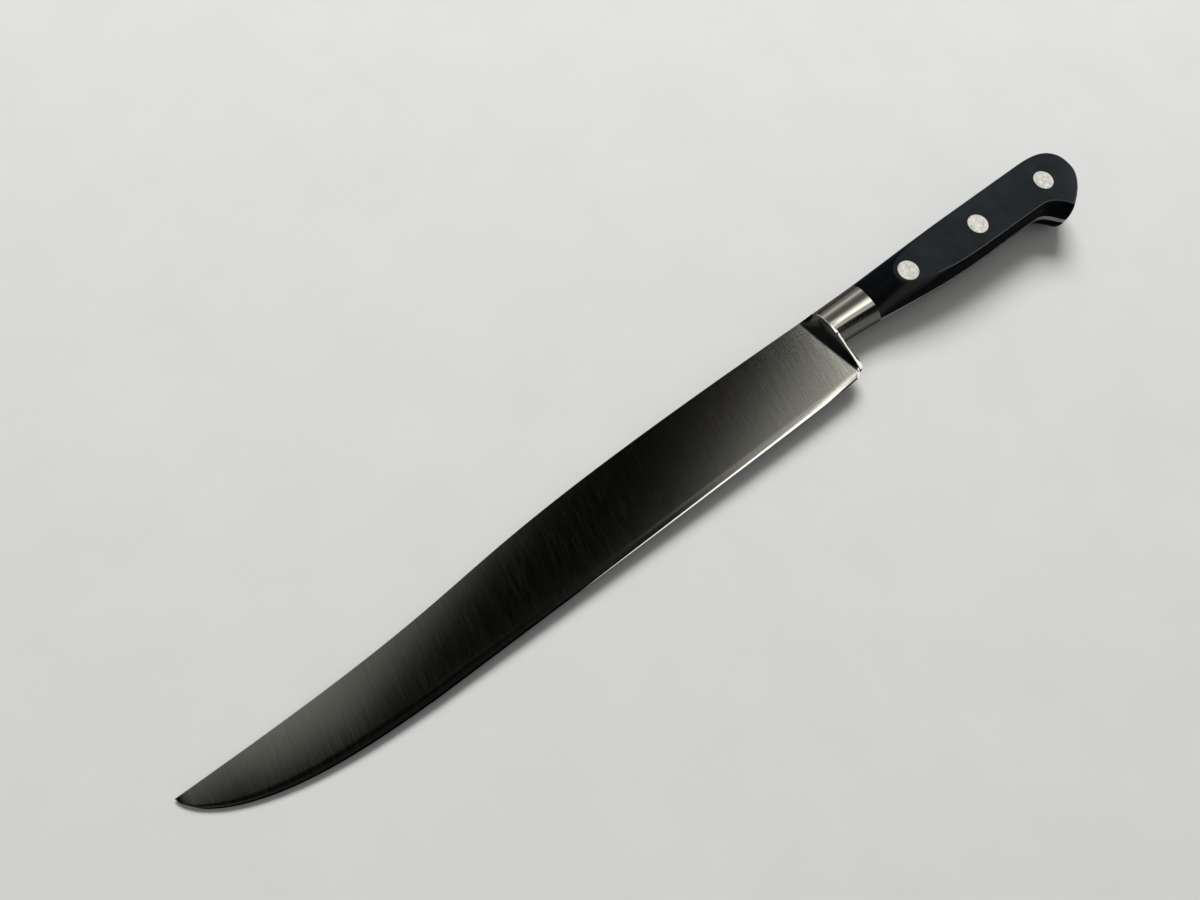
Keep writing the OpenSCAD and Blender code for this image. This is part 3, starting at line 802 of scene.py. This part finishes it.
class Wire:
    """A socket in a node tree. Arithmetic on wires and numbers adds Math nodes."""

    def __init__(self, tree, socket=None):
        self.tree = tree
        self.socket = socket

    def make(self, kind, settings=None, inputs=None, out=0):
        """Adds a node: first its settings (stops fill a ramp), then the values or wires of its sockets."""
        node = self.tree.nodes.new(kind)
        for name, value in (settings or {}).items():
            if name == "stops":
                stops = node.color_ramp.elements
                stops.remove(stops[1])
                stops[0].position = value[0][0]
                stops[0].color = (*(value[0][1],) * 3, 1)
                for place, level in value[1:]:
                    stops.new(place).color = (level, level, level, 1)
            else:
                setattr(node, name, value)
        for name, value in (inputs or {}).items():
            if isinstance(value, Wire):
                self.tree.links.new(value.socket, node.inputs[name])
            else:
                node.inputs[name].default_value = value
        return Wire(self.tree, node.outputs[out])

    def math(self, operation, *others):
        """A Math node on this wire and others."""
        return self.make("ShaderNodeMath", {"operation": operation}, dict(enumerate((self, *others))))

    def __add__(self, other):
        return self.math("ADD", other)

    def __mul__(self, other):
        return self.math("MULTIPLY", other)

    def __sub__(self, other):
        return self.math("SUBTRACT", other)

    def __truediv__(self, other):
        return self.math("DIVIDE", other)

    def __rsub__(self, other):
        return self * -1 + other

    __radd__ = __add__
    __rmul__ = __mul__

    def step(self, low, high):
        """Smooth step of this value between two others."""
        return self.make("ShaderNodeMapRange", {"interpolation_type": "SMOOTHSTEP"},
                         {"Value": self, "From Min": low, "From Max": high})

    def blend(self, a, b):
        """Colour a where this value is 0 and colour b where it is 1."""
        return self.make("ShaderNodeMix", {"data_type": "RGBA"}, {0: self, 6: a, 7: b}, 2)

    def xyz(self):
        """The three parts of a vector."""
        node = self.make("ShaderNodeSeparateXYZ", inputs={0: self}).socket.node
        return [Wire(self.tree, output) for output in node.outputs]

    def vector(self, x, y, z):
        """A vector from three values."""
        return self.make("ShaderNodeCombineXYZ", inputs={0: x, 1: y, 2: z})

    def noise(self, at, scale, detail, roughness):
        """Fractal noise at a vector, 0 to 1."""
        return self.make("ShaderNodeTexNoise", {}, {"Vector": at, "Scale": scale, "Detail": detail,
                                                    "Roughness": roughness})

    def bump(self, height, distance):
        """A surface normal from a height; distance is the height's size in metres."""
        return self.make("ShaderNodeBump", {}, {"Height": height, "Distance": distance})


# %% [markdown]
# A material starts from the plain Principled shader. Numbers that are the same all over a piece
# are set on its sockets, and wires are linked to them.

# %% Material helpers


def new_material(name, piece_list):
    """An empty Principled material on the given pieces: a start for wires, and the shader's node."""
    material = bpy.data.materials.new(name)
    material.use_nodes = True
    shader = material.node_tree.nodes["Principled BSDF"]
    for piece in piece_list:
        piece.data.materials.clear()
        piece.data.materials.append(material)
    return Wire(material.node_tree), shader


def connect(wires, shader, inputs):
    """Sets or links the shader's sockets."""
    for name, value in inputs.items():
        if isinstance(value, Wire):
            wires.tree.links.new(value.socket, shader.inputs[name])
        else:
            shader.inputs[name].default_value = value
    print(shader.name, "fed by", len(wires.tree.nodes) - 2, "nodes")


def in_millimetres(position):
    """The three parts of a position in metres, as wires in millimetres."""
    return [part * MM_PER_M for part in position.xyz()]


# %% [markdown]
# ## Steel
# The blade is ground across, with fine lines that lean a little towards the tip on their way to
# the edge. Neck, rim and bevel are polished. The lines are noise stretched along their direction,
# and they drive the roughness and a very shallow bump.

# %% Steel material
GRIND_SLANT = 0.19      # sideways run of a grinding line on its way across the blade
GRIND_DEPTH = 6e-6      # metres
steel, shader = new_material("satin_and_polished_steel", [forging])
x, y, z = in_millimetres(steel.make("ShaderNodeTexCoord", out=3))
polish_mark = steel.make("ShaderNodeAttribute", {"attribute_name": "polish"}, out=2)
tang_wire = steel.make("ShaderNodeAttribute", {"attribute_name": "tang"}, out=2)
# The hollow's mark, where the steel is painted dark as a painted dark reflection, and made rougher.
painted_dark_hollow = steel.make("ShaderNodeAttribute", {"attribute_name": "hollow"}, out=2)
across = x - y * GRIND_SLANT
broad = steel.noise(steel.vector(across * 1.6, y * 0.03, z * 0.05), 1.0, 3.0, 0.75)
lines = steel.noise(steel.vector(across * 4.0, y * 0.12, z * 0.1), 1.0, 3.0, 0.7)
swirls = steel.noise(steel.vector(x * 0.3 + y * 1.6, y * 0.1 - x * 2.2, z), 1.0, 3.0, 0.7)
cloud = steel.noise(steel.vector(x * 0.05, y * 0.09, z * 0.05), 1.0, 3.0, 0.55)
satin = 1 - polish_mark
shade = (broad - 0.5) * 0.6 + (lines - 0.5) * 0.9 + (cloud - 0.5) * 0.3 + 0.5
satin_colour = shade.blend((0.44, 0.44, 0.43, 1), (0.72, 0.715, 0.70, 1))
polished_colour = cloud.blend((0.66, 0.65, 0.63, 1), (0.72, 0.71, 0.69, 1))
# Painted dark reflection: the hollow's steel gets a dark colour in place of its own.
painted_dark_reflection_colour = cloud.blend((0.06, 0.054, 0.062, 1), (0.125, 0.112, 0.125, 1))
colour = painted_dark_hollow.blend(polish_mark.blend(satin_colour, polished_colour), painted_dark_reflection_colour)
satin_rough = (lines - 0.5) * 0.07 + (broad - 0.5) * 0.02 + 0.085
roughness = satin * satin_rough + polish_mark * ((cloud - 0.5) * 0.02 + 0.045)
roughness = roughness + tang_wire * 0.18 + painted_dark_hollow * 0.12
height = satin * (broad * 0.35 + lines * 0.4)
scratches = lines.step(0.52, 0.75) * 0.012 + broad.step(0.55, 0.72) * 0.005
scratches = scratches + swirls.step(0.62, 0.74) * 0.016
metallic = 1 - satin * scratches - tang_wire * 0.5
connect(steel, shader, {"Base Color": colour, "Metallic": metallic, "Roughness": roughness,
                        "Normal": steel.bump(height, GRIND_DEPTH)})

# %% [markdown]
# ## Black scales
# The scales are moulded in a dense black plastic. Their flat faces are ground to a satin, with a
# bluish bloom, and the rounded parts stay glossy. How far a point lies off the middle plane tells
# which is which. A fine light line where the flat face begins at the beak is a painted
# highlight.

# %% Scale material
SATIN_DEPTH = 6e-6      # metres
plastic, shader = new_material("black_moulded_plastic", scales)
coords = plastic.make("ShaderNodeTexCoord", out=3)
x, y, z = in_millimetres(coords)
off_centre = (z - SIDE).math("ABSOLUTE")
flat = off_centre.step(SIDE - 0.12, SIDE - 0.03)
speckle = plastic.noise(coords, 2600.0, 3.0, 0.6)
mottle = plastic.noise(coords, 220.0, 3.0, 0.55)
hairlines = plastic.noise(plastic.vector(x * 1.2, y * 9.0, z), 1.0, 2.0, 0.6)
patches = plastic.noise(coords, 45.0, 2.0, 0.5)
bloom = mottle * 0.9 + speckle * 0.5 + (patches - 0.5) * 1.8 - 0.2
flat_colour = bloom.blend((0.0055, 0.0075, 0.0092, 1), (0.018, 0.0225, 0.027, 1))
round_colour = mottle.blend((0.002, 0.0024, 0.003, 1), (0.004, 0.0048, 0.006, 1))
# A painted highlight: a light line on the rounding where the flat face begins at the beak.
painted_highlight_line = off_centre.step(SIDE - 0.16, SIDE - 0.08) * (1 - off_centre.step(SIDE - 0.04, SIDE - 0.005))
painted_highlight_line = painted_highlight_line * (1 - y.step(4.0, 7.0)) * x.step(104, 118)
flat_rough = (speckle - 0.5) * 0.16 + (hairlines - 0.5) * 0.14 + 0.36
round_rough = (mottle - 0.5) * 0.08 + 0.17
# The light colour below is the painted highlight's.
colour = painted_highlight_line.blend(flat.blend(round_colour, flat_colour), (0.12, 0.125, 0.125, 1))
connect(plastic, shader, {
    "Base Color": colour, "Specular IOR Level": 0.1,
    "Roughness": flat * flat_rough + (1 - flat) * round_rough,
    "Normal": plastic.bump(flat * (speckle * 0.7 + hairlines * 0.3), SATIN_DEPTH)})

# %% [markdown]
# ## Rivets
# The heads were ground flush with the scales, which leaves a pale face with short scratches in
# many directions and a few darker scuffs.

# %% Rivet material
SCRATCH_DEPTH = 25e-6   # metres
silver, shader = new_material("ground_rivet_metal", rivets)
coords = silver.make("ShaderNodeTexCoord", out=3)
x, y, z = in_millimetres(coords)
scratch_a = silver.noise(silver.vector(x * 9.0 + y * 4.0, y * 0.8 - x * 0.4, z), 1.0, 3.0, 0.7)
scratch_b = silver.noise(silver.vector(x * 0.9 + y * 0.3, y * 8.0 - x * 3.0, z), 1.0, 3.0, 0.7)
blotch = silver.noise(coords, 700.0, 4.0, 0.6)
shade = scratch_a * 0.35 + scratch_b * 0.35 + blotch * 0.3
connect(silver, shader, {
    "Base Color": shade.step(0.41, 0.59).blend((0.44, 0.43, 0.40, 1), (0.95, 0.93, 0.87, 1)),
    "Metallic": 0.35, "Roughness": (shade - 0.5) * 0.5 + 0.42,
    "Normal": silver.bump(scratch_a * 0.5 + scratch_b * 0.5, SCRATCH_DEPTH)})

# %% [markdown]
# ## Floor and lamp
# The floor is plain and pale. A knife of this form touches it with its tip and with the flat side
# of one scale, so the floor is tilted by that small angle while the knife's middle plane stays
# level. One large lamp stands far behind the spine and the butt. Its distance lights the floor
# evenly, and its size softens the shadow.
# In the steel's reflections the floor is painted dark, a painted shade.

# %% Floor and lamp
FLOOR = 3.0             # metres, half its width
FIRST_TOUCH = 31.0      # where the flat side of the right scale begins
TIP_CLEAR = 0.97        # share of the tip's height that the floor rises to
LAMP_AT, LAMP_WIDE, LAMP_HIGH, LAMP_WATTS = (1.0, 1.58, 1.65), 1.3, 1.0, 77.0
tip_height = (SIDE - TIP_THICK / 2) * TIP_CLEAR
floor_slope = tip_height / (BLADE_LEN + FIRST_TOUCH)
corners = [(-FLOOR, -FLOOR), (FLOOR, -FLOOR), (FLOOR, FLOOR), (-FLOOR, FLOOR)]
touch_x = placed((FIRST_TOUCH, 0, 0))[0]
floor_mesh = bpy.data.meshes.new("floor")
floor_mesh.from_pydata([(x, y, (touch_x - x) * floor_slope) for x, y in corners], [], [(0, 1, 2, 3)])
floor = bpy.data.objects.new("floor", floor_mesh)
bpy.context.scene.collection.objects.link(floor)
stone, shader = new_material("pale_floor", [floor])
coords = stone.make("ShaderNodeTexCoord", out=3)
grain = stone.noise(coords, 30.0, 4.0, 0.6)
in_steel = stone.make("ShaderNodeLightPath", out=3)     # 1 where a glossy ray looks at the floor
# Painted shade: as the steel sees it, the floor gets a dark colour that stands for the shadow under the
# knife.
pale = grain.blend((0.63, 0.635, 0.62, 1), (0.69, 0.695, 0.68, 1))
connect(stone, shader, {"Base Color": in_steel.blend(pale, (0.06, 0.06, 0.058, 1)), "Roughness": 0.9})

lamp_data = bpy.data.lights.new("soft_lamp", "AREA")
lamp_data.shape = "RECTANGLE"
lamp_data.size, lamp_data.size_y = LAMP_WIDE, LAMP_HIGH
lamp_data.energy = LAMP_WATTS
lamp = bpy.data.objects.new("soft_lamp", lamp_data)
lamp_at = Vector(LAMP_AT)
aim = (Vector((0, 0, 0)) - lamp_at).to_track_quat("-Z", "Y").to_matrix().to_4x4()
lamp.matrix_world = Matrix.Translation(lamp_at) @ aim
lamp.visible_glossy = False
bpy.context.scene.collection.objects.link(lamp)
print("floor slope", round(floor_slope, 4), "lamp", round(lamp_at.length, 2), "m away")

# %% [markdown]
# ## The surroundings
# Polished steel has hardly a colour of its own: it shows what it reflects. So the world holds a
# small studio that only glossy rays see: a dark ceiling over the camera, soft boxes and pale
# panels. Each is a smooth step or a curve over the direction of the ray, with its three parts
# rx, ry and rz along the knife, across it and up. Other rays see an even soft light, and the
# camera sees a pale background beyond the floor.

# %% The world
world = bpy.data.worlds.new("studio")
bpy.context.scene.world = world
world.use_nodes = True
sky = Wire(world.node_tree)
rx, ry, rz = sky.make("ShaderNodeTexCoord", out=0).xyz()
glossy = sky.make("ShaderNodeLightPath", out=3)
by_camera = sky.make("ShaderNodeLightPath", out=0)
PEAK = 2.0              # brightest value that a curve can give

# What the neck reflects, from below the edge (ry = -1) to behind the spine (ry = 1)
STRIPS = [(-1.0, 0.13), (-0.62, 0.11), (-0.57, 0.055), (-0.50, 0.02), (-0.40, 0.007),
          (-0.26, 0.004), (-0.23, 0.02), (-0.18, 0.10), (-0.15, 0.48), (-0.07, 0.5), (-0.03, 0.36),
          (0.0, 0.5), (0.06, 1.5), (0.15, 1.6), (0.19, 0.8), (0.22, 0.2), (0.28, 0.10),
          (0.35, 0.11), (0.43, 0.2), (0.49, 0.5), (0.57, 0.5), (0.61, 0.26), (0.70, 0.19),
          (0.76, 0.13), (0.82, 0.05), (1.0, 0.02)]
# What the blade reflects, from the dark over its middle towards the heel and towards the tip
HEELWARD = [(0.0, 0.001), (0.2, 0.002), (0.26, 0.006), (0.32, 0.018), (0.37, 0.042),
            (0.42, 0.10), (0.47, 0.2), (0.52, 0.3), (0.59, 0.48), (0.8, 0.6)]
TIPWARD = [(0.0, 0.0), (0.06, 0.003), (0.10, 0.010), (0.14, 0.045), (0.18, 0.09),
           (0.25, 0.14), (0.32, 0.19), (0.45, 0.22), (0.8, 0.25)]
# Where the neck's part of the surroundings begins, as rx over ry
NECK_FROM = [(-1.0, 0.484), (-0.86, 0.487), (-0.6, 0.5), (-0.3, 0.517), (0.0, 0.526),
             (0.02, 0.533), (0.17, 0.533), (0.2, 0.512), (1.0, 0.512)]


def curve(value, points, low, high):
    """A curve of straight pieces through (place, level) points, over values from low to high."""
    stops = [((place - low) / (high - low), level / PEAK) for place, level in points]
    return value.make("ShaderNodeValToRGB", {"stops": stops}, {0: (value - low) / (high - low)}) * PEAK


# The ceiling over the blade brightens towards its heel and its tip, and ends before its edge
at_tip = rx.step(-0.6, -0.45) * (1 - ry.step(0.26, 0.34))
heelward = rx - (ry.math("MAXIMUM", 0.03) - 0.09) * 2.0
tipward = (ry - 0.09) * 3.5 + (rx * -1).math("MINIMUM", 0.10)
past_middle = (1 - rx.step(-0.2, -0.05)) * 0.35
before_edge = (ry.step(-0.02, 0.035) + past_middle).math("MAXIMUM", rx.step(0.28, 0.42))
over_blade = curve(heelward, HEELWARD, 0, 1) + curve(tipward, TIPWARD, 0, 1) * at_tip

# The boxes and panels that the bevel, the relief, the rim and the far views show
side_box = (rx * 1.5 - ry).step(0.74, 0.77) * (1 - (ry * -1).step(0.82, 0.92)) * 1.4
back_box = ry.step(0.30, 0.36) * (1 - rx.step(-0.12, -0.04)) * 0.6
faint = ry.step(0.045, 0.06) * (1 - ry.step(0.07, 0.085)) * rx.step(-0.1, 0.0)
faint = faint * (1 - rx.step(0.2, 0.3)) * 0.014
overhead = ry.step(-0.22, -0.12) * (1 - ry.step(-0.03, 0.03)) * (1 - rx.step(0.2, 0.35))
overhead = overhead * (rx * rx * 0.22 + 0.009)
end_panels = (1 - rx.step(-0.8, -0.62)) * 0.22 + (1 - ry.step(-0.95, -0.88)) * 0.16
round_blade = over_blade * before_edge + side_box + back_box + end_panels + faint + overhead

# The strips along the neck, and the bright end that closes them
past_neck = rx.step(0.60, 0.66) * (1.3 - ry.step(0.06, 0.14) * 0.9) * ry.step(-0.45, -0.28)
along_neck = curve(ry, STRIPS, -1, 1) * (1 - rx.step(0.58, 0.66) * 0.8) + past_neck
at_neck = (rx - curve(ry, NECK_FROM, -1, 1)).step(0, 0.009)

reflected = at_neck * along_neck + (1 - at_neck) * round_blade
tint = (at_neck * ry.step(0.58, 0.66)).blend((1.0, 0.99, 0.88, 1), (1.0, 0.88, 0.76, 1))
warm = sky.make("ShaderNodeVectorMath", {"operation": "SCALE"}, {0: tint, "Scale": reflected})
soft = rz.step(-0.2, 0.6) * 0.10 + 0.16
around = by_camera.blend(glossy.blend(soft, warm), (0.62, 0.625, 0.61, 1))
connect(sky, world.node_tree.nodes["Background"], {"Color": around, "Strength": 1.0})
bpy.context.scene.view_settings.view_transform = "Standard"
